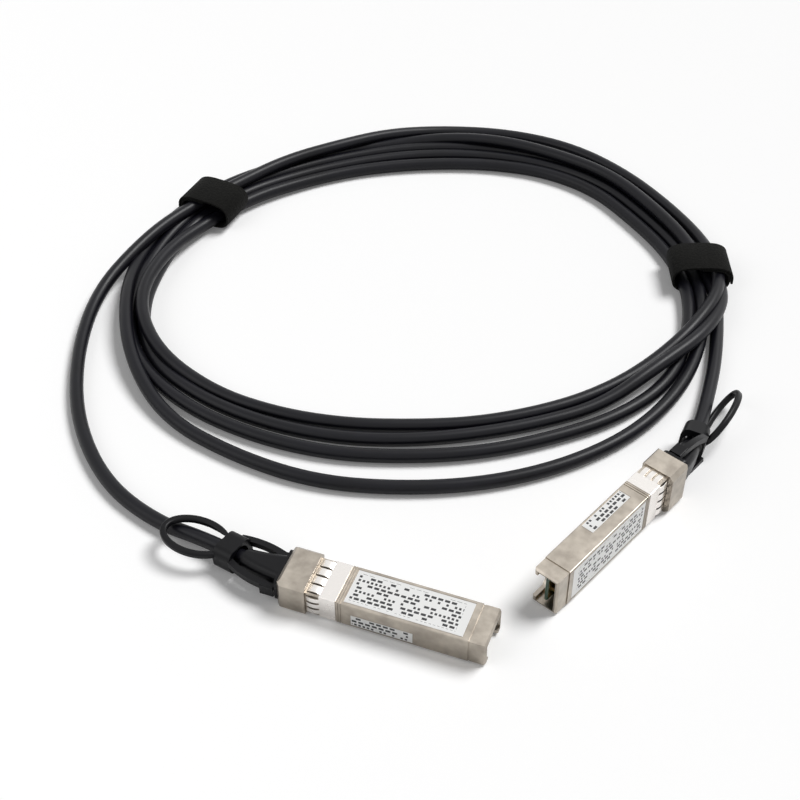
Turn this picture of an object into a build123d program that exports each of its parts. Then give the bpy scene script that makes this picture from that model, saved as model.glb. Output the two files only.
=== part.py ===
import math
import os

from build123d import *

# Passive copper cable assembly with a pluggable metal housing at each end, lying coiled on a flat surface.
# Millimetres. Each plug is drawn once in its own frame: +X towards the nose, +Z towards the wide label face,
# X = 0 at the front of the head, Z = 0 at the underside of the head. The left plug lies in that frame as drawn.

# Housing
body_width = 13.7
body_height = 8.5
body_lift = 0.45
body_length = 51.5
parting_height = 5.3
floor_thickness = 1.4
roof_thickness = 1.2
side_wall = 1.1
edge_round = 0.35
cavity_start = 8.0
wire_channel_width = 5.8
wire_channel_start = 1.5

# Head, the part that stays outside the cage
head_length = 8.4
head_width = 14.6
head_height = 10.6
head_top_chamfer = 1.3
head_back_chamfer = 1.0
head_foot_chamfer = 0.5

# Nose
nose_groove_from_tip = 4.5
nose_groove_width = 0.5
nose_groove_depth = 0.3
nose_step = 0.2
nose_lead_in = 0.5
scoop_width = 9.0
scoop_depth = 6.4
scoop_corner = 2.6

# Spring-finger collar and its seat round the housing
seat_length = 9.1
seat_depth = 0.3
collar_sheet = 0.25
collar_start = 0.25
band_start = 4.1
band_end = 8.8
finger_rise = 0.3
finger_width = 2.35
finger_pitch = 3.1
wide_face_fingers = 4
side_finger_width = 1.5
side_finger_pitch = 2.25
side_fingers = 3
seam_groove_width = 0.3
seam_groove_depth = 0.2
seam_groove_gap = 0.45

# Paddle card with its contacts
card_thickness = 1.0
card_width = 9.2
card_underside = 3.9
card_start = 22.0
card_setback = 1.0
card_lead_in = 0.25
contact_count = 10
contact_pitch = 0.8
contact_width = 0.54
contact_length = 3.2
contact_thickness = 0.06
contact_setback = 0.6
card_rail_width = 1.3
rail_clearance = 0.1
chip_length = 3.9
chip_width = 4.9
chip_height = 1.3
chip_start = 33.0

# Cable end inside the housing
ferrule_length = 4.0
ferrule_across_flats = 5.4
ferrule_bore = 4.3
ferrule_clearance = 0.1
pair_width = 2.0
pair_height = 1.1
pair_offset = 1.45
pair_landing = 3.0

# Fasteners and latch boss on the underside
screw_place = 12.0
screw_spacing = 8.4
screw_head_diameter = 2.4
screw_head_height = 0.8
screw_shank_diameter = 1.3
screw_length = 6.0
pillar_diameter = 2.9
drive_slot_width = 0.4
drive_slot_depth = 0.35
boss_place = 19.8
boss_length = 2.6
boss_width = 2.4

# Release slider, a folded strip that runs in the head and under the floor
slider_sheet = 0.8
slider_side_place = 5.7
slider_travel = 2.2
slider_clearance = 0.25
slider_strip_low = 3.3
slider_strip_high = 4.9
slider_lug_back = -1.8
slider_front = -0.8
slider_tail = -12.4
slider_bar_sheet = 0.4
slider_bar_low = 0.85
slider_bar_back = -3.0
tongue_width = 2.6
tongue_end = 16.4
kicker_length = 1.5
spring_pocket_back = -6.2
spring_diameter = 1.8
spring_wire = 0.24
spring_turns = 5
spring_height = 2.1

# Moulded boot
boot_length = 13.0
boot_base_width = 9.0
boot_base_height = 7.8
boot_corner = 1.6
boot_flange_length = 0.9
boot_flange_width = 12.8
boot_flange_height = 8.4
boot_spigot_length = 2.2
boot_spigot_diameter = 5.4
boot_tip_diameter = 6.0
left_boot_bend_radius = 50.0
right_boot_bend_radius = 35.0

# Moulded pull tab
tab_thickness = 1.9
tab_level = 5.7
tab_flange_gap = 0.3
tab_socket_length = 4.0
tab_socket_low = 2.7
tab_socket_width = 2.1
tab_arm_width = 1.9
tab_arm_middle_place = -17.4
tab_arm_middle = 6.0
tab_arm_end = 4.3
tab_loop_half_width = 7.0
tab_strand_width = 2.0
tab_strand_round = 0.6
left_loop_half_length = 10.5
left_loop_place = -37.6
left_loop_offset = 3.0
left_loop_turn = (0.0, 3.0)
right_loop_half_length = 12.5
right_loop_place = -39.6
right_loop_offset = 2.0
right_loop_turn = (-34.0, -13.0)
bridge_from_tip = 5.0
bridge_length = 6.0
bridge_width = 10.2
bridge_height = 7.8
bridge_bore = 6.6
boot_room = 0.35

# Labels, thin plates in shallow fields
label_thickness = 0.1
label_field_depth = 0.12
top_label_start = 11.0
top_label_length = 33.6
top_label_width = 11.6
side_label_start = 13.3
side_label_length = 17.7
side_label_low = 1.15
side_label_height = 3.9

# Cable
cable_diameter = 4.4

# Coil: centre, and the inner and outer edge of the bundle at equal steps of angle, from +X anticlockwise
coil_centre = (-16.4, 139.3)
coil_inner_edge = [88.2, 84.5, 77.8, 76.0, 71.0, 66.0, 64.2, 66.3, 71.8, 79.5, 90.0, 95.8, 86.6, 76.8,
                   70.0, 69.3, 72.0, 77.8]
coil_outer_edge = [96.8, 99.2, 97.6, 95.9, 95.6, 91.5, 88.0, 86.8, 90.6, 97.0, 102.5, 105.4, 108.8, 104.6,
                   101.1, 98.8, 98.8, 96.9]
coil_round = 1.4
upper_layer = 3.85

# Strands that lie on the lowest layer: middle and width of that band, from its left end round the back
upper_from = 210.0
upper_to = -15.0
upper_middle = [99.6, 95.0, 90.5, 83.5, 81.2, 79.8, 82.5, 84.0, 80.6, 82.2, 85.6, 86.6, 91.5, 96.8, 92.4, 85.0]
upper_width = [9.0, 9.0, 6.0, 5.0, 4.8, 4.8, 5.4, 5.4, 4.8, 4.8, 4.8, 4.8, 6.0, 6.0, 8.6, 5.0]

# Open crescent between the loosest turn and the rest
fan_gap_from = 228.0
fan_gap_to = 322.0
fan_gap_inner = [101.2, 97.8, 93.4, 88.8, 86.9, 87.6, 90.6]
fan_gap_outer = [103.4, 103.6, 101.6, 97.9, 95.4, 94.4, 93.6]

# Ties, hook-and-loop strips round the bundle
left_tie_angle = 173.5
right_tie_angle = 21.5
left_tie_radius = 85.8
right_tie_radius = 91.6
tie_width = 14.0
tie_thickness = 0.8
tie_core_width = 17.8
tie_core_height = 8.0
tie_core_round = 4.0
tie_seat_clearance = 0.1
tie_flap_length = 7.5

# Route of the cable between each boot and the coil, one point at each bend
straight_exit = 13.5
left_tail_route = [(-52.6, 7.0, 2.2), (-74.1, 15.8, 2.2), (-95.1, 36.5, 2.2), (-110.1, 64.0, 2.2),
                   (-117.8, 92.0, 3.4), (-114.4, 117.0, 6.6), (-109.6, 137.0, 6.7), (-102.4, 151.0, 6.5)]
right_tail_route = [(85.0, 113.2, 2.25), (83.8, 130.5, 2.25), (80.4, 150.5, 2.3), (75.0, 170.0, 2.3)]

# Right plug: it lies on its left-hand side, so its own +Z is level and its own +Y points down
right_plug_angle = 249.0
right_plug_place = (74.3, 67.3)

cable_height = parting_height
card_top = card_underside + card_thickness
card_end = body_length - card_setback
rail_end = card_end - contact_setback - contact_length - rail_clearance
body_top = body_lift + body_height
cavity_width = body_width - 2 * side_wall
cavity_floor = body_lift + floor_thickness
cavity_roof = body_top - roof_thickness


def block(x, y, z):
    """Solid box given by its low and high place along each axis."""
    size = [high - low for low, high in (x, y, z)]
    middle = [(high + low) / 2 for low, high in (x, y, z)]
    return Pos(*middle) * Box(*size)


def both_sides(width):
    return (-width / 2, width / 2)


def head_block():
    """Outside form of the head, chamfered along its top, its foot and round its back."""
    side = head_width / 2
    across = [(-side + head_foot_chamfer, 0), (side - head_foot_chamfer, 0), (side, head_foot_chamfer),
              (side, head_height - head_top_chamfer), (side - head_top_chamfer, head_height),
              (-side + head_top_chamfer, head_height), (-side, head_height - head_top_chamfer),
              (-side, head_foot_chamfer)]
    from_above = [(0, side), (-head_length + head_back_chamfer, side), (-head_length, side - head_back_chamfer),
                  (-head_length, -side + head_back_chamfer), (-head_length + head_back_chamfer, -side), (0, -side)]
    from_side = [(0, 0), (-head_length + head_foot_chamfer, 0), (-head_length, head_foot_chamfer),
                 (-head_length, head_height - head_back_chamfer), (-head_length + head_back_chamfer, head_height),
                 (0, head_height)]
    head = extrude(Plane.YZ * make_face(Polyline(*across, close=True)), -head_length)
    head &= extrude(make_face(Polyline(*from_above, close=True)), head_height)
    return head & extrude(Plane.XZ * make_face(Polyline(*from_side, close=True)), head_width, both=True)


def body_block():
    """Outside form of the part that enters the cage, with its stepped nose and lead-in."""
    nose_start = body_length - nose_groove_from_tip
    body = block((0, nose_start), both_sides(body_width), (body_lift, body_top))
    body = fillet(body.edges().filter_by(Axis.X), edge_round)
    nose_width = body_width - 2 * nose_step
    nose_low = body_lift + nose_step
    nose_high = body_top - nose_step
    nose = block((nose_start, body_length), both_sides(nose_width), (nose_low, nose_high))
    nose = chamfer(nose.faces().sort_by(Axis.X)[-1].edges(), nose_lead_in)
    return body + nose


def ring_cut(start, length, depth):
    """Shallow channel that runs round all four faces of the body."""
    around = block((start, start + length), both_sides(body_width + 2), (body_lift - 1, body_top + 1))
    core = block((start - 1, start + length + 1), both_sides(body_width - 2 * depth),
                 (body_lift + depth, body_top - depth))
    return around - core


def housing_block():
    """Head and body as one form, with the collar seat, the seam grooves and the nose groove."""
    housing = head_block() + body_block()
    housing -= ring_cut(0, seat_length, seat_depth)
    for number in range(2):
        start = seat_length + seam_groove_gap + number * (seam_groove_width + seam_groove_gap)
        housing -= ring_cut(start, seam_groove_width, seam_groove_depth)
    housing -= ring_cut(body_length - nose_groove_from_tip - nose_groove_width, nose_groove_width, nose_groove_depth)
    return housing


def inner_space():
    """Space inside the closed housing: card cavity, wire channel, ferrule nest and boot spigot bore."""
    space = block((cavity_start, body_length + 1), both_sides(cavity_width), (cavity_floor, cavity_roof))
    space += block((wire_channel_start, cavity_start), both_sides(wire_channel_width),
                   (cavity_floor + 1.2, cavity_roof - 0.4))
    nest_start = -head_length + boot_spigot_length
    nest_radius = (ferrule_across_flats / 2 + ferrule_clearance) / math.cos(math.pi / 6)
    nest = extrude(Plane.YZ * RegularPolygon(nest_radius, 6), wire_channel_start - nest_start)
    space += Pos(nest_start, 0, cable_height) * nest
    spigot = extrude(Plane.YZ * Circle(boot_spigot_diameter / 2), boot_spigot_length + 1)
    space += Pos(-head_length - 1, 0, cable_height) * spigot
    return space


def screw_places():
    return [(screw_place, side * screw_spacing / 2) for side in (-1, 1)]


def pillars(low, high):
    """Screw pillars that stand in the card cavity between two heights."""
    made = [Pos(x, y, (low + high) / 2) * Cylinder(pillar_diameter / 2, high - low) for x, y in screw_places()]
    return made[0] + made[1]


def screw_form(extra=0.0):
    """One countersunk screw, or with extra its hole, with the head at the underside of the body."""
    head = Cone((screw_head_diameter + extra) / 2, (screw_shank_diameter + extra) / 2, screw_head_height)
    shank = Cylinder((screw_shank_diameter + extra) / 2, screw_length)
    recess = 0.15
    head_middle = body_lift + recess + screw_head_height / 2
    shank_middle = body_lift + recess + screw_length / 2
    return Pos(0, 0, head_middle) * head + Pos(0, 0, shank_middle) * shank


def slider_slots():
    """Room in the base for the slider over its whole travel, with the spring pockets beside it."""
    gap = slider_clearance
    back = slider_bar_back - slider_travel - gap
    front = slider_front + gap
    slots = block((back, front), both_sides(2 * slider_side_place), (-1, slider_bar_low + slider_bar_sheet + gap))
    tongue_room = (slider_bar_low - 2, slider_bar_low + slider_bar_sheet + 0.1)
    slots += block((front - 0.1, tongue_end + gap), both_sides(tongue_width + 2 * gap), tongue_room)
    for side in (-1, 1):
        place = side * slider_side_place
        across = (place - slider_sheet / 2 - gap, place + slider_sheet / 2 + gap)
        slots += block((spring_pocket_back, front), across, (-1, parting_height))
        slots += block((-head_length - 1, spring_pocket_back + 0.1), across,
                       (slider_strip_low - gap, slider_strip_high + gap))
        pocket_width = spring_diameter / 2 + 0.15
        slots += block((spring_pocket_back, slider_lug_back), (place - pocket_width, place + pocket_width),
                       (spring_height - pocket_width, spring_height + pocket_width))
    return slots


def nose_scoop():
    """U-shaped cut in the floor that bares the underside of the card's edge."""
    start = body_length - scoop_depth
    scoop = block((start, body_length + 2), both_sides(scoop_width), (body_lift - 1, cavity_floor + 0.5))
    corners = scoop.edges().filter_by(Axis.Z).group_by(Axis.X)[0]
    return fillet(corners, scoop_corner)


def label_field(length, width):
    return Box(length, width, 2 * label_field_depth)


def top_field():
    middle = top_label_start + top_label_length / 2
    return Pos(middle, 0, body_top) * label_field(top_label_length + 0.3, top_label_width + 0.3)


def side_field():
    middle = side_label_start + side_label_length / 2
    height = side_label_low + side_label_height / 2
    return Pos(middle, -body_width / 2, height) * Rot(90, 0, 0) * label_field(side_label_length + 0.3,
                                                                             side_label_height + 0.3)


def shell_base():
    """Lower half of the housing: floor, low side walls, lower half of the head and the latch boss."""
    lower = block((-head_length - 1, body_length + 1), both_sides(head_width + 2), (-1, parting_height))
    base = (housing_block() & lower) - inner_space()
    rail_place = card_width / 2 + rail_clearance
    for side in (-1, 1):
        across = sorted((side * cavity_width / 2, side * (rail_place - card_rail_width)))
        base += block((card_start, rail_end), across, (cavity_floor, card_underside))
    base += pillars(cavity_floor, parting_height)
    base -= slider_slots()
    base -= nose_scoop()
    base -= side_field()
    for x, y in screw_places():
        base -= Pos(x, y, 0) * screw_form(0.1)
    outline = Polyline((boss_place - boss_length, -boss_width / 2), (boss_place - boss_length, boss_width / 2),
                       (boss_place, 0), close=True)
    base += extrude(make_face(outline), body_lift + 0.2)
    return base


def shell_cover():
    """Upper half of the housing: roof, upper side walls, upper half of the head and the card clamps."""
    upper = block((-head_length - 1, body_length + 1), both_sides(head_width + 2), (parting_height, head_height + 1))
    cover = (housing_block() & upper) - inner_space()
    clamp_low = card_top + rail_clearance
    rail_place = card_width / 2 + rail_clearance
    for side in (-1, 1):
        across = sorted((side * (rail_place - 0.1), side * (rail_place - card_rail_width)))
        cover += block((card_start + 1, rail_end), across, (clamp_low, cavity_roof + 0.1))
    cover += pillars(parting_height, cavity_roof)
    for x, y in screw_places():
        cover -= Pos(x, y, 0) * screw_form(0.0)
    cover -= top_field()
    return cover


def cover_screws():
    screws = []
    for x, y in screw_places():
        slot = block((x - 2, x + 2), (y - drive_slot_width / 2, y + drive_slot_width / 2),
                     (body_lift - 1, body_lift + 0.15 + drive_slot_depth))
        screws.append(Pos(x, y, 0) * screw_form() - slot)
    return Compound(screws)


def finger(width, seat_height):
    """One arched spring finger on a face at seat_height, drawn along X and centred on Y = 0."""
    low = seat_height + 0.02
    high = seat_height + collar_sheet
    middle = (collar_start + band_start) / 2
    crest = seat_height + seat_depth + finger_rise
    band_overlap = band_start + 0.3
    outer = ThreePointArc((collar_start, high), (middle, crest), (band_start, high))
    inner = ThreePointArc((collar_start, low), (middle, crest - collar_sheet), (band_start, low))
    sides = Line((collar_start, low), (collar_start, high))
    tab = Polyline((band_start, high), (band_overlap, high), (band_overlap, low), (band_start, low))
    profile = make_face([outer, inner, sides, tab])
    return extrude(Plane.XZ * profile, width / 2, both=True)


def emi_collar():
    """Stamped collar: a plain band with a row of arched fingers on each face."""
    seat_width = body_width - 2 * seat_depth
    seat_tall = body_height - 2 * seat_depth
    middle_height = body_lift + body_height / 2
    outside = Box(band_end - band_start, seat_width + 2 * collar_sheet, seat_tall + 2 * collar_sheet)
    outside = fillet(outside.edges().filter_by(Axis.X), collar_sheet)
    inside = Box(band_end - band_start + 2, seat_width, seat_tall)
    band = Pos((band_start + band_end) / 2, 0, middle_height) * (outside - inside)
    for number in range(wide_face_fingers):
        offset = (number - (wide_face_fingers - 1) / 2) * finger_pitch
        for turn in (0, 180):
            placed = Pos(0, offset, 0) * finger(finger_width, seat_tall / 2)
            band += Pos(0, 0, middle_height) * Rot(turn, 0, 0) * placed
    for number in range(side_fingers):
        offset = (number - (side_fingers - 1) / 2) * side_finger_pitch
        for turn in (90, -90):
            placed = Pos(0, offset, 0) * finger(side_finger_width, seat_width / 2)
            band += Pos(0, 0, middle_height) * Rot(turn, 0, 0) * placed
    return band


def paddle_card():
    card = block((card_start, card_end), both_sides(card_width), (card_underside, card_top))
    return chamfer(card.faces().sort_by(Axis.X)[-1].edges().filter_by(Axis.Y), card_lead_in)


def card_contacts():
    """Rows of gold contacts on both faces of the card's front edge."""
    pads = []
    end = card_end - contact_setback
    for number in range(contact_count):
        across = (number - (contact_count - 1) / 2) * contact_pitch
        sides = (across - contact_width / 2, across + contact_width / 2)
        pads.append(block((end - contact_length, end), sides, (card_top, card_top + contact_thickness)))
        pads.append(block((end - contact_length, end), sides, (card_underside - contact_thickness, card_underside)))
    return Compound(pads)


def card_chip():
    body = block((chip_start, chip_start + chip_length), both_sides(chip_width), (card_top, card_top + chip_height))
    return chamfer(body.faces().sort_by(Axis.Z)[-1].edges(), 0.2)


def ferrule():
    """Crimped ferrule round the end of the cable, with flats from the crimp tool."""
    start = -head_length + boot_spigot_length
    radius = ferrule_across_flats / 2 / math.cos(math.pi / 6)
    sleeve = extrude(Plane.YZ * RegularPolygon(radius, 6), ferrule_length)
    sleeve -= extrude(Plane.YZ * Circle(ferrule_bore / 2), ferrule_length)
    return Pos(start, 0, cable_height) * sleeve


def wire_pairs():
    """Two shielded conductor pairs from the ferrule to the back edge of the card."""
    start = -head_length + boot_spigot_length + ferrule_length
    height = card_top + pair_height / 2
    pairs = []
    for side in (-1, 1):
        section = Plane.YZ * Ellipse(pair_width / 2, pair_height / 2)
        pairs.append(Pos(start, side * pair_offset, height) * extrude(section, card_start + pair_landing - start))
    return Compound(pairs)


def release_slider():
    """Folded strip: cross bar and tongue under the floor, two side arms that leave through the head's back."""
    bar_high = slider_bar_low + slider_bar_sheet
    inner_side = slider_side_place - slider_sheet / 2 - 0.6
    slider = block((slider_bar_back, slider_front), both_sides(2 * inner_side), (slider_bar_low, bar_high))
    slider += block((slider_lug_back, slider_front), both_sides(2 * slider_side_place), (slider_bar_low, bar_high))
    slider += block((slider_front - 0.1, tongue_end), both_sides(tongue_width), (slider_bar_low, bar_high))
    ramp = Polyline((tongue_end - kicker_length, slider_bar_low), (tongue_end, slider_bar_low),
                    (tongue_end, body_lift + 0.05), close=True)
    slider += extrude(Plane.XZ * make_face(ramp), tongue_width / 2, both=True)
    for side in (-1, 1):
        across = sorted((side * (slider_side_place - slider_sheet / 2), side * (slider_side_place + slider_sheet / 2)))
        slider += block((slider_lug_back, slider_front), across, (slider_bar_low, slider_strip_high))
        slider += block((slider_tail, slider_front), across, (slider_strip_low, slider_strip_high))
    return slider


def return_springs():
    """Two small coil springs between the slider's lugs and the back wall of the head."""
    length = slider_lug_back - spring_pocket_back
    springs = []
    coil_radius = (spring_diameter - spring_wire) / 2
    run = length - spring_wire
    helix = Helix(run / spring_turns, run, coil_radius)
    section = Plane(origin=helix @ 0, z_dir=helix % 0) * Circle(spring_wire / 2)
    wound = sweep(section, path=helix, is_frenet=True)
    for side in (-1, 1):
        place = Pos(spring_pocket_back + spring_wire / 2, side * slider_side_place, spring_height)
        springs.append(place * Rot(0, 90, 0) * wound)
    return Compound(springs)


class ExitBend:
    """Gentle bend of a boot: where its tip is and in which direction the cable leaves it."""

    def __init__(self, bend_radius, towards):
        self.angle = boot_length / bend_radius
        side = bend_radius * (1 - math.cos(self.angle))
        back = bend_radius * math.sin(self.angle)
        self.towards = Vector(*towards).normalized()
        self.tip = Vector(-head_length - back, 0, cable_height) + self.towards * side
        self.direction = Vector(-math.cos(self.angle), 0, 0) + self.towards * math.sin(self.angle)
        self.middle = Vector(-head_length - bend_radius * math.sin(self.angle / 2), 0, cable_height)
        self.middle += self.towards * bend_radius * (1 - math.cos(self.angle / 2))
        self.half_way = Vector(-math.cos(self.angle / 2), 0, 0) + self.towards * math.sin(self.angle / 2)
        self.first_bend = self.tip + self.direction * straight_exit

    def plane(self, place, direction):
        return Plane(origin=place, x_dir=direction.cross(Vector(0, 0, 1)), z_dir=direction)


left_bend = ExitBend(left_boot_bend_radius, (0, 1, -0.3))
right_bend = ExitBend(right_boot_bend_radius, (0, 0.6, -1))


def boot_taper(bend, grow=0.0):
    """Tapered, bent part of the boot, or with grow the room that the tab leaves round it."""
    base_plane = bend.plane(Vector(-head_length, 0, cable_height), Vector(-1, 0, 0))
    widths = [boot_base_width, (boot_base_width + boot_tip_diameter) / 2, boot_tip_diameter]
    heights = [boot_base_height, (boot_base_height + boot_tip_diameter) / 2, boot_tip_diameter]
    planes = [base_plane, bend.plane(bend.middle, bend.half_way), bend.plane(bend.tip, bend.direction)]
    corners = [boot_corner, boot_corner + 0.5, boot_tip_diameter * 0.45]
    sections = []
    for width, height, plane, corner in zip(widths, heights, planes, corners):
        sections.append(plane * RectangleRounded(width + 2 * grow, height + 2 * grow, corner))
    return loft(sections)


def strip_notches(low, high):
    """Notches for the slider's two side arms between two places along the plug."""
    gap = slider_clearance
    notches = []
    for side in (-1, 1):
        edges = (side * (slider_side_place - slider_sheet / 2 - gap), side * (slider_side_place + slider_sheet / 2 + gap))
        notches.append(block((low, high), sorted(edges), (slider_strip_low - gap, slider_strip_high + gap)))
    return notches[0] + notches[1]


def boot(bend):
    """Moulded boot: flange on the head's back face, bent taper down to the cable, spigot in the head."""
    outline = Plane.YZ * RectangleRounded(boot_flange_width, boot_flange_height, boot_corner)
    flange = Pos(-head_length - boot_flange_length, 0, cable_height) * extrude(outline, boot_flange_length)
    flange -= strip_notches(-head_length - boot_flange_length - 1, -head_length + 1)
    spigot = extrude(Plane.YZ * Circle(boot_spigot_diameter / 2), boot_spigot_length)
    return boot_taper(bend) + flange + Pos(-head_length, 0, cable_height) * spigot


def finger_loop(half_length, place, offset, turn, hinge):
    """Closed round-edged loop, rolled about its long axis and pitched about the hinge at its near end."""
    ring = Ellipse(half_length, tab_loop_half_width)
    ring -= Ellipse(half_length - tab_strand_width, tab_loop_half_width - tab_strand_width)
    loop = extrude(ring, tab_thickness / 2, both=True)
    loop = fillet(loop.edges(), tab_strand_round)
    roll, pitch = turn
    return Pos(hinge, offset, tab_level) * Rot(0, pitch, 0) * Pos(place - hinge, 0, 0) * Rot(roll, 0, 0) * loop


def pull_tab(bend, half_length, place, offset, turn):
    """Moulded tab: sockets on the slider's arms, two arms, a bridge round the cable and a finger loop."""
    bridge = bend.tip + bend.direction * bridge_from_tip
    start = -head_length - boot_flange_length - tab_flange_gap
    tab = None
    for side in (-1, 1):
        line = Spline((start - tab_socket_length / 2, side * slider_side_place),
                      (tab_arm_middle_place, side * tab_arm_middle + 0.4 * bridge.Y),
                      (bridge.X + 1, side * tab_arm_end + bridge.Y))
        arm = Pos(0, 0, tab_level) * extrude(trace(line, tab_arm_width), tab_thickness / 2, both=True)
        edges = (slider_side_place - tab_socket_width / 2, slider_side_place + tab_socket_width / 2)
        socket = block((start - tab_socket_length, start), sorted(side * edge for edge in edges),
                       (tab_socket_low, tab_level + tab_thickness / 2))
        arm += fillet(socket.edges().filter_by(Axis.X), 0.4)
        tab = arm if tab is None else tab + arm
    tab += finger_loop(half_length, place, offset, turn, bridge.X)
    saddle_plane = bend.plane(bridge - bend.direction * bridge_length / 2, bend.direction)
    tab += extrude(saddle_plane * RectangleRounded(bridge_width, bridge_height, bridge_height * 0.35), bridge_length)
    tab -= extrude(saddle_plane.offset(-8) * Circle(bridge_bore / 2), bridge_length + 16)
    return tab - boot_taper(bend, boot_room) - release_slider()


def top_label():
    middle = top_label_start + top_label_length / 2
    height = body_top - label_field_depth + label_thickness / 2
    return Pos(middle, 0, height) * Box(top_label_length, top_label_width, label_thickness)


def side_label():
    middle = side_label_start + side_label_length / 2
    height = side_label_low + side_label_height / 2
    across = -body_width / 2 + label_field_depth - label_thickness / 2
    return Pos(middle, across, height) * Box(side_label_length, label_thickness, side_label_height)


def plug_pieces(bend, loop):
    """All pieces of one plug in the plug's own frame, by the name of its node."""
    return {
        "shell_base": shell_base(),
        "shell_cover": shell_cover(),
        "cover_screws": cover_screws(),
        "emi_collar": emi_collar(),
        "paddle_card": paddle_card(),
        "card_contacts": card_contacts(),
        "card_chip": card_chip(),
        "crimp_ferrule": ferrule(),
        "wire_pairs": wire_pairs(),
        "release_slider": release_slider(),
        "return_springs": return_springs(),
        "cable_boot": boot(bend),
        "pull_tab": pull_tab(bend, *loop),
        "top_label": top_label(),
        "side_label": side_label(),
    }


def right_frame():
    angle = math.radians(right_plug_angle)
    return Plane(origin=(*right_plug_place, head_width / 2), x_dir=(math.cos(angle), math.sin(angle), 0),
                 z_dir=(-math.sin(angle), math.cos(angle), 0))


def on_coil(angle, radius, height=0.0):
    """Point at an angle in degrees and a radius from the coil's centre."""
    turn = math.radians(angle)
    return (coil_centre[0] + radius * math.cos(turn), coil_centre[1] + radius * math.sin(turn), height)


def ring_outline(radii):
    step = 360 / len(radii)
    return Spline(*[on_coil(step * number, radius) for number, radius in enumerate(radii)], periodic=True)


def upper_part():
    """Second layer of strands, set back from both edges of the bundle."""
    step = (upper_to - upper_from) / (len(upper_middle) - 1)
    stations = [(upper_from + step * n, m, w) for n, (m, w) in enumerate(zip(upper_middle, upper_width))]
    inner = [on_coil(angle, middle - width / 2) for angle, middle, width in stations]
    outer = [on_coil(angle, middle + width / 2) for angle, middle, width in stations]
    outline = [Spline(*inner), Line(inner[-1], outer[-1]), Spline(*outer[::-1]), Line(outer[0], inner[0])]
    layer = extrude(make_face(outline), cable_diameter + upper_layer)
    return chamfer(layer.edges().group_by(Axis.Z)[-1], coil_round)


def fan_gap():
    """Open crescent between the loosest turn and the rest of the bundle."""
    count = len(fan_gap_inner)
    angles = [fan_gap_from + (fan_gap_to - fan_gap_from) * number / (count - 1) for number in range(count)]
    inner = [on_coil(a, r, -1) for a, r in zip(angles, fan_gap_inner)]
    outer = [on_coil(a, r, -1) for a, r in zip(angles, fan_gap_outer)]
    outline = [Spline(*inner), Line(inner[-1], outer[-1]), Spline(*outer[::-1]), Line(outer[0], inner[0])]
    return extrude(make_face(outline), cable_diameter + 2)


def tie_frame(angle, radius):
    """Frame of a tie: its own Z along the bundle, its own X outwards and its own Y up."""
    turn = math.radians(angle)
    return Plane(origin=on_coil(angle, radius, tie_thickness + tie_core_height / 2),
                 x_dir=(math.cos(turn), math.sin(turn), 0), z_dir=(math.sin(turn), -math.cos(turn), 0))


def tie_core(length, grow=0.0):
    width = tie_core_width + 2 * grow
    height = tie_core_height + 2 * grow
    section = RectangleRounded(width, height, min(tie_core_round + grow, height * 0.45))
    return extrude(section, length / 2, both=True)


def tie_waist(angle, radius):
    """Material that the drawn-in bundle lacks under a tie."""
    around = Box(tie_core_width + 16, tie_core_height + 16, tie_width + 2 * tie_seat_clearance)
    return tie_frame(angle, radius) * (around - tie_core(tie_width + 2))


def tie(angle, radius):
    """Strip wound round the bundle, with its free end lapped over the outer side."""
    strip = tie_core(tie_width, tie_thickness) - tie_core(tie_width + 2, 0.0)
    lap_width = tie_core_width / 2 + 2 * tie_thickness
    lap = tie_core(tie_width, 2 * tie_thickness) - tie_core(tie_width + 2, tie_thickness)
    keep = Pos(lap_width / 2, (tie_core_height + 2 * tie_thickness) / 2, 0)
    lap &= keep * Box(lap_width + 2 * tie_thickness, tie_core_height + 2 * tie_thickness, tie_width)
    return tie_frame(angle, radius) * (strip + lap)


def cable_coil():
    """Outer shape of the wound bundle, waisted where each tie holds it."""
    ring = make_face(ring_outline(coil_outer_edge)) - make_face(ring_outline(coil_inner_edge))
    coil = extrude(ring, cable_diameter)
    coil = chamfer(coil.edges().group_by(Axis.Z)[-1], coil_round * 0.6)
    coil += upper_part()
    coil -= fan_gap()
    coil -= tie_waist(left_tie_angle, left_tie_radius)
    coil -= tie_waist(right_tie_angle, right_tie_radius)
    return coil


def cable_tube(name, points):
    """Round cable along straight runs joined by arcs as large as the runs allow."""
    points = [Vector(*point) for point in points]
    runs = [(after - before).length for before, after in zip(points, points[1:])]
    radii = []
    for number in range(1, len(points) - 1):
        before = points[number] - points[number - 1]
        after = points[number + 1] - points[number]
        half_turn = math.radians(before.get_angle(after)) / 2
        radii.append(0.45 * min(runs[number - 1], runs[number]) / math.tan(half_turn))
    path = FilletPolyline(*points, radius=radii)
    section = Plane(origin=path @ 0, z_dir=path % 0) * Circle(cable_diameter / 2)
    tube = sweep(section, path=path)
    expected = math.pi * (cable_diameter / 2) ** 2 * path.length
    print(name, "runs", [round(run, 1) for run in runs], "radii", [round(radius, 1) for radius in radii])
    print(name, "length", round(path.length, 1), "volume ratio", round(tube.volume / expected, 4))
    return tube


def tail_to_tie(tail, angle, radius):
    """The stretch of a tail up to the tie that holds it on the bundle."""
    size = 60
    under_tie = Box(size, size, tie_width + 2 * tie_seat_clearance)
    return (tail - tie_frame(angle, radius) * under_tie).solids().sort_by(SortBy.VOLUME)[-1]


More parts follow.
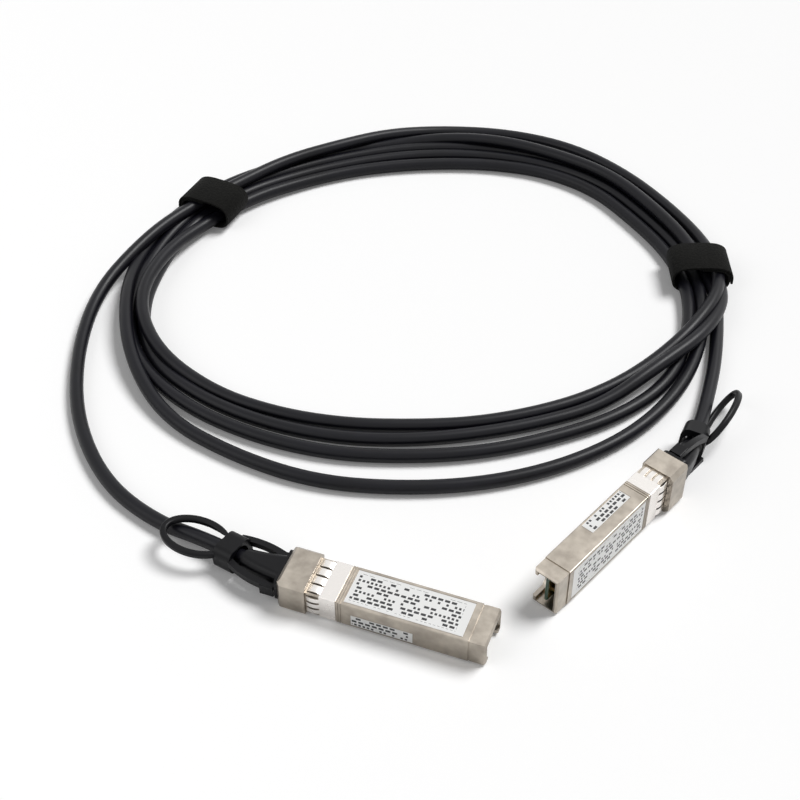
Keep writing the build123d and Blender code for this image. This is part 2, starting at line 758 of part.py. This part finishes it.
def main():
    os.makedirs("parts", exist_ok=True)
    right_place = right_frame()
    pieces = {}
    left_loop = (left_loop_half_length, left_loop_place, left_loop_offset, left_loop_turn)
    right_loop = (right_loop_half_length, right_loop_place, right_loop_offset, right_loop_turn)
    for name, shape in plug_pieces(left_bend, left_loop).items():
        pieces["left_" + name] = shape
    for name, shape in plug_pieces(right_bend, right_loop).items():
        pieces["right_" + name] = right_place * shape
    left_exit = [left_bend.tip, left_bend.first_bend]
    right_exit = [right_place.from_local_coords(point) for point in (right_bend.tip, right_bend.first_bend)]
    left_tail = cable_tube("left tail", left_exit + left_tail_route)
    right_tail = cable_tube("right tail", right_exit + right_tail_route)
    pieces["cable_coil"] = cable_coil()
    pieces["left_cable_tail"] = tail_to_tie(left_tail, left_tie_angle, left_tie_radius)
    pieces["right_cable_tail"] = tail_to_tie(right_tail, right_tie_angle, right_tie_radius)
    pieces["left_tie"] = tie(left_tie_angle, left_tie_radius)
    pieces["right_tie"] = tie(right_tie_angle, right_tie_radius)
    for node, shape in pieces.items():
        export_step(shape, "parts/" + node + ".step")


main()
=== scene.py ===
import math

import bpy
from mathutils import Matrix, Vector


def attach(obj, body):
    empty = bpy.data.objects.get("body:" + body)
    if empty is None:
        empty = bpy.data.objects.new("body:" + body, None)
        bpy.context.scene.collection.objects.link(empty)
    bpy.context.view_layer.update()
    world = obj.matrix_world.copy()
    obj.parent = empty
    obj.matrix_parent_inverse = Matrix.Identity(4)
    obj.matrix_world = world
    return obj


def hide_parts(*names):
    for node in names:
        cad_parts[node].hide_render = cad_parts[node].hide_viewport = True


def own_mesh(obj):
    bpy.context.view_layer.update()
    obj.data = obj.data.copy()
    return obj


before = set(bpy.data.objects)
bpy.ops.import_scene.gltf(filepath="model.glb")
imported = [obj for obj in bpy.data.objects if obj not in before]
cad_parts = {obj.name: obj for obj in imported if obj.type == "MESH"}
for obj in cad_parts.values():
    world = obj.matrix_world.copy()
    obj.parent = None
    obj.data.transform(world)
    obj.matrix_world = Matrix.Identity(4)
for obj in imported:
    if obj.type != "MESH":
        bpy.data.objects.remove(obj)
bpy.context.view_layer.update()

# Sizes and places are in millimetres, and mm turns them into the frame's metres
mm = 0.001

# View of the photograph: eye, the point it looks at, and the lens
eye_point = (113.6, -237.5, 325.0)
view_target = (-5.4, 81.3, 0.0)
sensor_width = 36.0
lens_length = 67.5

# Cable
cable_diameter = 4.4
left_exit = (-21.25, 1.61, 4.82)
left_tail_route = [left_exit, (-34.3, 4.93, 3.82), (-52.6, 7.0, 2.25), (-74.1, 15.8, 2.25),
                   (-95.1, 36.5, 2.25), (-110.1, 64.0, 2.25), (-117.8, 92.0, 3.4), (-114.4, 117.0, 6.4),
                   (-109.6, 137.0, 6.5)]
right_exit = (84.90, 85.84, 6.07)
right_tail_route = [(80.4, 150.5, 2.3), (83.8, 130.5, 2.3), (85.0, 113.2, 2.3), (85.49, 99.09, 3.55),
                    right_exit]

# Ties: where each holds the bundle, and the strip's own sizes
tie_places = {"left": (173.5, 85.8), "right": (21.5, 91.6)}
tie_width = 14.0
tie_sheet = 0.75
tie_half_width = 9.3
tie_half_height = 4.4
tie_middle_height = 4.8
tie_lap_rise = 0.85
tie_end_lift = 0.2
tie_edge = 0.15

# Course of a tie: equal steps of angle from the top, the steps of the lap and the free end, and its roundness
tie_step_angle = 10
tie_steps = 46
tie_lap_start = 24
tie_lap_steps = 8
tie_end_start = 40
tie_side_roundness = 0.62
tie_top_roundness = 0.72

# Coil: radius and height of the cable at equal steps of angle, clockwise from the left tie, turn by turn
coil_centre = (-16.4, 139.3)
coil_first_angle = 165.0
coil_step = 15.0
turn_radii = [
    [83.2, 81.2, 79.6, 83.4, 87.8, 91.3, 93.9, 93.9, 94.6, 97.2, 97.8, 90.2,
     81.8, 76.5, 72.9, 71.5, 71.8, 75.6, 81.4, 88.6, 96.4, 97.6, 91.0, 83.4],
    [76.6, 71.0, 67.8, 66.2, 67.0, 70.4, 75.2, 78.4, 79.0, 83.2, 86.9, 88.8,
     91.0, 88.2, 84.6, 84.0, 84.9, 88.7, 93.1, 98.7, 103.0, 101.0, 96.0, 91.6],
    [85.4, 80.0, 76.8, 76.4, 77.8, 80.3, 84.4, 87.8, 88.6, 93.0, 99.4, 94.6,
     85.8, 81.8, 77.4, 76.2, 78.0, 81.9, 86.9, 93.0, 98.7, 96.6, 91.6, 87.4],
    [81.0, 75.6, 72.4, 71.6, 72.8, 75.6, 79.8, 83.2, 83.9, 87.9, 91.3, 93.3,
     95.3, 96.4, 96.4, 96.7, 97.8, 101.0, 102.8, 106.4, 104.8, 101.8, 100.3, 96.0],
    [89.8, 84.4, 81.2, 80.0, 80.8, 80.4, 82.2, 85.6, 86.4, 90.6, 95.6],
]
turn_heights = [
    [6.6, 6.4, 6.2, 4.9, 2.6, 2.25, 2.25, 2.25, 2.25, 3.6, 6.9, 7.2,
     3.2, 2.25, 2.25, 2.25, 2.25, 2.25, 2.25, 2.25, 5.2, 6.6, 5.9, 3.1],
    [3.2, 2.4, 2.25, 2.25, 2.25, 2.25, 2.25, 2.25, 2.25, 2.4, 3.2, 2.4,
     2.25, 2.25, 2.25, 2.25, 2.25, 2.25, 2.25, 2.25, 2.25, 2.25, 2.25, 3.1],
    [3.2, 2.4, 2.25, 2.25, 2.25, 2.25, 2.25, 2.25, 2.25, 2.6, 3.8, 7.2,
     6.6, 2.6, 2.25, 2.25, 2.25, 2.25, 2.25, 2.25, 2.25, 2.25, 2.25, 3.1],
    [3.2, 2.4, 2.25, 2.25, 2.25, 2.25, 2.25, 2.25, 2.25, 2.4, 3.2, 2.4,
     2.25, 2.25, 2.25, 2.25, 2.25, 2.25, 2.25, 2.4, 5.2, 6.5, 2.6, 3.1],
    [3.2, 2.4, 2.25, 2.25, 4.4, 6.4, 6.1, 6.1, 6.1, 5.6, 3.2],
]

# Each plug's frame: its place, its long axis, the axis across its label and the way its label faces
plugs = {
    "left": {"place": Vector((0.0, 0.0, 0.0)), "along": Vector((1.0, 0.0, 0.0)),
             "across": Vector((0.0, 1.0, 0.0)), "face": Vector((0.0, 0.0, 1.0))},
    "right": {"place": Vector((74.3, 67.3, 7.3)), "along": Vector((-0.35837, -0.93358, 0.0)),
              "across": Vector((0.0, 0.0, 1.0)), "face": Vector((0.93358, -0.35837, 0.0))},
}

# Labels of a plug: start along it, the axis up the print and where the label starts on it, size, rows of bars
label_sizes = {
    "wide": {"node": "top_label", "start": 11.0, "up": "across", "edge": -5.8, "length": 33.6, "height": 11.6,
             "rows": 9},
    "narrow": {"node": "side_label", "start": 13.3, "up": "face", "edge": 1.15, "length": 17.7, "height": 3.9,
               "rows": 3},
}
label_white = (0.84, 0.84, 0.83, 1.0)
label_ink = (0.015, 0.015, 0.017, 1.0)
white = (1.0, 1.0, 1.0, 1.0)
black = (0.0, 0.0, 0.0, 1.0)

# Light: the world's own, what cameras and reflections see behind the object, the floor's glow, and two lamps
world_light = 0.16
backdrop_light = 1.0
floor_glow = 0.09
floor_size = 6000.0
lit_place = (0.0, 100.0, 0.0)
key_place = (450.0, 620.0, 1000.0)
key_strength = 2.65
key_spread = 28.0
fill_place = (-700.0, -500.0, 800.0)
fill_size = 900.0
fill_power = 2.0


def socket(node, name):
    return node.inputs[name]


def new_material(name, colour, roughness, metallic=0.0):
    """A Principled material with its plain values set on the shader's own sockets."""
    material = bpy.data.materials.new(name)
    material.use_nodes = True
    shader = material.node_tree.nodes["Principled BSDF"]
    socket(shader, "Base Color").default_value = (*colour, 1.0)
    socket(shader, "Roughness").default_value = roughness
    socket(shader, "Metallic").default_value = metallic
    return material, shader


def object_noise(material, scale, detail=3.0, stretch=(1.0, 1.0, 1.0)):
    """Noise on object coordinates, its scale in features per metre."""
    nodes = material.node_tree.nodes
    links = material.node_tree.links
    place = nodes.new("ShaderNodeTexCoord")
    mapping = nodes.new("ShaderNodeMapping")
    socket(mapping, "Scale").default_value = stretch
    noise = nodes.new("ShaderNodeTexNoise")
    socket(noise, "Scale").default_value = scale
    socket(noise, "Detail").default_value = detail
    links.new(place.outputs["Object"], mapping.inputs["Vector"])
    links.new(mapping.outputs["Vector"], noise.inputs["Vector"])
    return noise


def vary_colour(material, shader, noise, dark, light):
    ramp = material.node_tree.nodes.new("ShaderNodeValToRGB")
    ramp.color_ramp.elements[0].position = 0.3
    ramp.color_ramp.elements[0].color = (*dark, 1.0)
    ramp.color_ramp.elements[1].position = 0.7
    ramp.color_ramp.elements[1].color = (*light, 1.0)
    material.node_tree.links.new(noise.outputs["Fac"], ramp.inputs["Fac"])
    material.node_tree.links.new(ramp.outputs["Color"], shader.inputs["Base Color"])


def vary_roughness(material, shader, noise, low, high):
    spread = material.node_tree.nodes.new("ShaderNodeMapRange")
    socket(spread, "To Min").default_value = low
    socket(spread, "To Max").default_value = high
    material.node_tree.links.new(noise.outputs["Fac"], spread.inputs["Value"])
    material.node_tree.links.new(spread.outputs["Result"], shader.inputs["Roughness"])


def add_bump(material, shader, noise, strength, distance):
    """Relief from a noise, its distance in metres."""
    bump = material.node_tree.nodes.new("ShaderNodeBump")
    socket(bump, "Strength").default_value = strength
    socket(bump, "Distance").default_value = distance
    material.node_tree.links.new(noise.outputs["Fac"], bump.inputs["Height"])
    material.node_tree.links.new(bump.outputs["Normal"], shader.inputs["Normal"])


def nickel_plating():
    """Warm grey nickel plating over a die casting, with a faint cast grain."""
    material, shader = new_material("nickel plating", (0.385, 0.345, 0.3), 0.34, 1.0)
    cloud = object_noise(material, 240.0, 4.0)
    vary_colour(material, shader, cloud, (0.305, 0.272, 0.233), (0.465, 0.42, 0.362))
    vary_roughness(material, shader, object_noise(material, 900.0, 3.0), 0.27, 0.42)
    add_bump(material, shader, object_noise(material, 2600.0, 2.0), 0.12, 0.00008)
    return material


def bright_spring_steel():
    material, shader = new_material("bright spring steel", (0.80, 0.77, 0.74), 0.24, 1.0)
    vary_roughness(material, shader, object_noise(material, 700.0, 2.0, (1.0, 6.0, 1.0)), 0.18, 0.32)
    return material


def satin_steel():
    material, shader = new_material("satin steel", (0.66, 0.65, 0.63), 0.32, 1.0)
    vary_roughness(material, shader, object_noise(material, 800.0, 2.0, (0.2, 1.0, 1.0)), 0.25, 0.4)
    return material


def circuit_board():
    material, shader = new_material("green solder resist", (0.009, 0.058, 0.026), 0.35)
    vary_colour(material, shader, object_noise(material, 500.0), (0.006, 0.045, 0.02), (0.012, 0.07, 0.032))
    socket(shader, "Coat Weight").default_value = 0.4
    return material


def gold_plating():
    material, shader = new_material("gold plating", (0.86, 0.62, 0.24), 0.22, 1.0)
    vary_roughness(material, shader, object_noise(material, 1500.0), 0.16, 0.3)
    return material


def crimp_brass():
    material, shader = new_material("crimp brass", (0.7, 0.54, 0.28), 0.35, 1.0)
    vary_roughness(material, shader, object_noise(material, 900.0), 0.28, 0.44)
    return material


def chip_resin():
    material, shader = new_material("chip resin", (0.02, 0.02, 0.023), 0.6)
    add_bump(material, shader, object_noise(material, 4000.0), 0.2, 0.00003)
    return material


def pair_foil():
    material, shader = new_material("pair foil", (0.76, 0.76, 0.78), 0.3, 1.0)
    add_bump(material, shader, object_noise(material, 1200.0, 2.0), 0.3, 0.0001)
    return material


def moulded_gloss():
    """Glossy black moulding of the boots and the pull tabs."""
    material, shader = new_material("glossy black moulding", (0.003, 0.003, 0.004), 0.3)
    socket(shader, "Specular IOR Level").default_value = 0.18
    vary_roughness(material, shader, object_noise(material, 500.0), 0.24, 0.42)
    add_bump(material, shader, object_noise(material, 900.0, 2.0), 0.08, 0.0001)
    return material


def cable_jacket():
    """Satin black jacket with a faint cool tint."""
    material, shader = new_material("satin black jacket", (0.003, 0.003, 0.005), 0.36)
    socket(shader, "Specular IOR Level").default_value = 0.23
    cloud = object_noise(material, 60.0, 3.0)
    vary_colour(material, shader, cloud, (0.002, 0.002, 0.0035), (0.004, 0.004, 0.007))
    vary_roughness(material, shader, object_noise(material, 300.0, 2.0), 0.3, 0.44)
    add_bump(material, shader, object_noise(material, 1600.0, 2.0), 0.1, 0.00008)
    return material


def tie_cloth():
    """Matt black hook-and-loop cloth."""
    material, shader = new_material("hook and loop cloth", (0.0045, 0.0045, 0.004), 0.9)
    socket(shader, "Specular IOR Level").default_value = 0.12
    loops = object_noise(material, 1500.0, 3.0)
    vary_colour(material, shader, loops, (0.002, 0.002, 0.0018), (0.007, 0.007, 0.006))
    add_bump(material, shader, loops, 0.8, 0.0004)
    socket(shader, "Sheen Weight").default_value = 0.02
    socket(shader, "Sheen Roughness").default_value = 0.5
    return material


def combine(tree, operation, first, second):
    """A Math node on a socket, with a second socket or a plain number."""
    node = tree.nodes.new("ShaderNodeMath")
    node.operation = operation
    tree.links.new(first, node.inputs[0])
    if isinstance(second, float):
        node.inputs[1].default_value = second
    else:
        tree.links.new(second, node.inputs[1])
    return node.outputs["Value"]


def distance_along(tree, direction, start):
    """Distance in metres along a direction from a start, measured on object coordinates."""
    place = tree.nodes.new("ShaderNodeTexCoord")
    dot = tree.nodes.new("ShaderNodeVectorMath")
    dot.operation = "DOT_PRODUCT"
    dot.inputs[1].default_value = direction
    tree.links.new(place.outputs["Object"], dot.inputs[0])
    return combine(tree, "SUBTRACT", dot.outputs["Value"], start)


def printed_bars(tree, across, up, row):
    """1 on the dark bars and 0 between them, in rows of one height. About two bars in three are dark."""
    join = tree.nodes.new("ShaderNodeCombineXYZ")
    tree.links.new(across, join.inputs["X"])
    tree.links.new(up, join.inputs["Y"])
    bars = tree.nodes.new("ShaderNodeTexBrick")
    bars.offset = 0.37
    bars.offset_frequency = 2
    bars.squash = 0.62
    bars.squash_frequency = 3
    socket(bars, "Color1").default_value = black
    socket(bars, "Color2").default_value = white
    socket(bars, "Mortar").default_value = white
    socket(bars, "Scale").default_value = 1.0
    socket(bars, "Mortar Size").default_value = row * 0.2
    socket(bars, "Mortar Smooth").default_value = 0.0
    socket(bars, "Brick Width").default_value = row * 1.5
    socket(bars, "Row Height").default_value = row
    tree.links.new(join.outputs["Vector"], bars.inputs["Vector"])
    split = tree.nodes.new("ShaderNodeSeparateColor")
    tree.links.new(bars.outputs["Color"], split.inputs["Color"])
    return combine(tree, "LESS_THAN", split.outputs["Red"], 0.66)


def printed_label(name, reading, rising, size, rows):
    """White film with rows of plain dark bars. reading and rising are a direction and its start."""
    material, shader = new_material(name, label_white[:3], 0.45)
    tree = material.node_tree
    length, height = size
    across = distance_along(tree, *reading)
    up = distance_along(tree, *rising)
    margin = 0.08 * height
    printed = printed_bars(tree, across, up, height / rows)
    for value, low, high in ((across, margin, 0.93 * length), (up, margin, height - margin)):
        printed = combine(tree, "MULTIPLY", printed, combine(tree, "GREATER_THAN", value, low))
        printed = combine(tree, "MULTIPLY", printed, combine(tree, "LESS_THAN", value, high))
    mix = tree.nodes.new("ShaderNodeMix")
    mix.data_type = "RGBA"
    film, ink = [entry for entry in mix.inputs if entry.type == "RGBA"]
    film.default_value = label_white
    ink.default_value = label_ink
    tree.links.new(printed, mix.inputs["Factor"])
    coloured = [output for output in mix.outputs if output.type == "RGBA"][0]
    tree.links.new(coloured, shader.inputs["Base Color"])
    return material


def plug_labels():
    """The materials of all labels, by node."""
    made = {}
    for side, plug in plugs.items():
        for width, label in label_sizes.items():
            reading = plug["along"]
            rising = plug[label["up"]]
            made[side + "_" + label["node"]] = printed_label(
                side + " " + width + " label",
                (reading, (reading.dot(plug["place"]) + label["start"]) * mm),
                (rising, (rising.dot(plug["place"]) + label["edge"]) * mm),
                (label["length"] * mm, label["height"] * mm), label["rows"])
    return made


def seen_rays(tree):
    """1 for the rays of the camera, of reflections and of clear pieces, 0 for those that only carry light."""
    rays = tree.nodes.new("ShaderNodeLightPath")
    seen = combine(tree, "MAXIMUM", rays.outputs["Is Camera Ray"], rays.outputs["Is Glossy Ray"])
    return combine(tree, "MAXIMUM", seen, rays.outputs["Is Transmission Ray"])


def floor_paint():
    """White floor with a faint glow for the rays that see it, so that it keeps the object's shadow."""
    material, shader = new_material("white studio floor", (0.96, 0.96, 0.96), 0.9)
    tree = material.node_tree
    socket(shader, "Specular IOR Level").default_value = 0.1
    socket(shader, "Emission Color").default_value = white
    glow = combine(tree, "MULTIPLY", seen_rays(tree), floor_glow)
    tree.links.new(glow, shader.inputs["Emission Strength"])
    return material


finish_of = {
    "shell_base": nickel_plating(),
    "emi_collar": bright_spring_steel(),
    "release_slider": satin_steel(),
    "paddle_card": circuit_board(),
    "card_contacts": gold_plating(),
    "card_chip": chip_resin(),
    "crimp_ferrule": crimp_brass(),
    "wire_pairs": pair_foil(),
    "cable_boot": moulded_gloss(),
}
finish_of["shell_cover"] = finish_of["shell_base"]
finish_of["cover_screws"] = finish_of["release_slider"]
finish_of["return_springs"] = finish_of["release_slider"]
finish_of["pull_tab"] = finish_of["cable_boot"]
jacket = cable_jacket()
cloth = tie_cloth()
labels = plug_labels()


def give_finish(piece, material):
    piece.data.materials.clear()
    piece.data.materials.append(material)


def dress_cad_nodes():
    for name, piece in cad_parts.items():
        side, _, part = name.partition("_")
        if part in finish_of:
            give_finish(piece, finish_of[part])
        elif name in labels:
            give_finish(piece, labels[name])
        elif part == "tie":
            give_finish(piece, cloth)
        else:
            give_finish(piece, jacket)


def close_springs():
    """Gives each plug's return springs a mesh of their own."""
    for side, plug in plugs.items():
        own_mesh(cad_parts[side + "_return_springs"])


def on_coil(angle, radius, height):
    turn = math.radians(angle)
    return (coil_centre[0] + radius * math.cos(turn), coil_centre[1] + radius * math.sin(turn), height)


def coil_points():
    """Control points of the wound turns. They stand out a little, as a smooth curve cuts inside them."""
    stand_out = 1 / math.cos(math.radians(coil_step / 2))
    points = []
    angle = coil_first_angle
    for radii, heights in zip(turn_radii, turn_heights):
        for radius, height in zip(radii, heights):
            points.append(on_coil(angle, radius * stand_out, height))
            angle -= coil_step
    return points


def boxed(value, roundness):
    """A sine or cosine that makes a box of a circle, the more so the smaller its roundness."""
    return math.copysign(abs(value) ** roundness, value)


def strip_path():
    """Course of a tie round the bundle, in its own plane: x outwards, z up. It starts and laps on the top."""
    path = [(0.0, tie_half_height)]
    for step in range(1, tie_steps + 1):
        turn = math.radians(90 - tie_step_angle * step)
        lap = min(1.0, max(0.0, (step - tie_lap_start) / tie_lap_steps)) * tie_lap_rise
        lift = max(0.0, (step - tie_end_start) / (tie_steps - tie_end_start)) * tie_end_lift
        across = boxed(math.cos(turn), tie_side_roundness) * (tie_half_width + lap + lift)
        up = boxed(math.sin(turn), tie_top_roundness) * (tie_half_height + lap)
        path.append((across, max(up, -tie_half_height)))
    return path


def make_strip(side):
    """Hook-and-loop strip, drawn out edge by edge round the bundle and then given its thickness."""
    angle, radius = tie_places[side]
    path = strip_path()
    first = path[1][0] - path[0][0]
    bpy.ops.object.select_all(action="DESELECT")
    bpy.ops.mesh.primitive_plane_add(size=1.0, location=(0.0, 0.0, 0.0))
    strip = bpy.context.active_object
    strip.name = side + "_strip"
    bpy.ops.object.mode_set(mode="EDIT")
    bpy.ops.mesh.select_mode(type="EDGE")
    bpy.ops.mesh.select_all(action="SELECT")
    bpy.ops.transform.resize(value=(first * mm, tie_width * mm, 1.0))
    bpy.ops.transform.translate(value=(first / 2 * mm, 0.0, path[0][1] * mm))
    bpy.ops.mesh.select_all(action="DESELECT")
    bpy.ops.object.mode_set(mode="OBJECT")
    # The far edge is drawn out from point to point of the course
    for edge in strip.data.edges:
        ends = [strip.data.vertices[number].co.x for number in edge.vertices]
        edge.select = min(ends) > 0.9 * first * mm
    bpy.ops.object.mode_set(mode="EDIT")
    for before, after in zip(path[1:], path[2:]):
        move = ((after[0] - before[0]) * mm, 0.0, (after[1] - before[1]) * mm)
        bpy.ops.mesh.extrude_region_move(TRANSFORM_OT_translate={"value": move})
    bpy.ops.mesh.select_all(action="SELECT")
    # The finished course is turned and moved to its place on the bundle
    place = on_coil(angle, radius, tie_middle_height)
    bpy.ops.transform.rotate(value=-math.radians(angle), orient_axis="Z", center_override=(0.0, 0.0, 0.0))
    bpy.ops.transform.translate(value=[value * mm for value in place])
    bpy.ops.object.mode_set(mode="OBJECT")
    thick = strip.modifiers.new("thick", "SOLIDIFY")
    thick.thickness = tie_sheet * mm
    thick.offset = 0.0
    soften = strip.modifiers.new("soften", "BEVEL")
    soften.width = tie_edge * mm
    soften.segments = 2
    soften.limit_method = "ANGLE"
    bpy.ops.object.modifier_apply(modifier="thick")
    bpy.ops.object.modifier_apply(modifier="soften")
    bpy.ops.object.shade_smooth_by_angle(angle=math.radians(40))
    give_finish(strip, cloth)
    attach(strip, "cable_assembly")
    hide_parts(side + "_tie")
    runs = [math.hypot(after[0] - before[0], after[1] - before[1]) for before, after in zip(path, path[1:])]
    return strip, sum(runs)


def make_cable():
    """The whole cable as one smooth curve: left tail, wound turns, right tail."""
    points = left_tail_route + coil_points() + right_tail_route
    curve = bpy.data.curves.new("cable", "CURVE")
    curve.dimensions = "3D"
    spline = curve.splines.new("NURBS")
    spline.points.add(len(points) - 1)
    for point, place in zip(spline.points, points):
        point.co = (place[0] * mm, place[1] * mm, place[2] * mm, 1.0)
    spline.order_u = 3
    spline.use_endpoint_u = True
    spline.resolution_u = 8
    curve.bevel_depth = cable_diameter / 2 * mm
    curve.bevel_resolution = 5
    cable = bpy.data.objects.new("cable", curve)
    bpy.context.collection.objects.link(cable)
    cable.data.materials.append(jacket)
    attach(cable, "cable_assembly")
    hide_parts("left_cable_tail", "cable_coil", "right_cable_tail")
    return cable


def floor():
    bpy.ops.mesh.primitive_plane_add(size=floor_size * mm, location=Vector(lit_place) * mm)
    plane = bpy.context.active_object
    plane.name = "studio_floor"
    give_finish(plane, floor_paint())


def surroundings():
    """Soft light from all sides, with white behind the object for cameras and reflections."""
    world = bpy.data.worlds.new("studio")
    bpy.context.scene.world = world
    world.use_nodes = True
    tree = world.node_tree
    light = tree.nodes["Background"]
    backdrop = tree.nodes.new("ShaderNodeBackground")
    for background, strength in ((light, world_light), (backdrop, backdrop_light)):
        socket(background, "Color").default_value = white
        socket(background, "Strength").default_value = strength
    choose = tree.nodes.new("ShaderNodeMixShader")
    tree.links.new(seen_rays(tree), choose.inputs["Fac"])
    tree.links.new(light.outputs["Background"], choose.inputs[1])
    tree.links.new(backdrop.outputs["Background"], choose.inputs[2])
    tree.links.new(choose.outputs["Shader"], tree.nodes["World Output"].inputs["Surface"])


def stand(fitting, place, target):
    """Stands a lamp or a camera at a place, facing a target."""
    holder = bpy.data.objects.new(fitting.name, fitting)
    bpy.context.collection.objects.link(holder)
    holder.location = Vector(place) * mm
    towards = (Vector(target) - Vector(place)).normalized()
    holder.rotation_euler = towards.to_track_quat("-Z", "Y").to_euler()
    return holder


def lamps():
    key = bpy.data.lights.new("key_lamp", "SUN")
    key.energy = key_strength
    key.angle = math.radians(key_spread)
    stand(key, key_place, lit_place)
    fill = bpy.data.lights.new("fill_lamp", "AREA")
    fill.shape = "DISK"
    fill.size = fill_size * mm
    fill.energy = fill_power
    stand(fill, fill_place, lit_place)


def photograph_view():
    eye = bpy.data.cameras.new("photograph_view")
    eye.sensor_width = sensor_width
    eye.lens = lens_length
    eye.clip_start = 0.01
    bpy.context.scene.camera = stand(eye, eye_point, view_target)
    bpy.context.scene.view_settings.view_transform = "Standard"


dress_cad_nodes()
close_springs()
strips = [make_strip(side) for side in tie_places]
cable = make_cable()
floor()
surroundings()
lamps()
photograph_view()
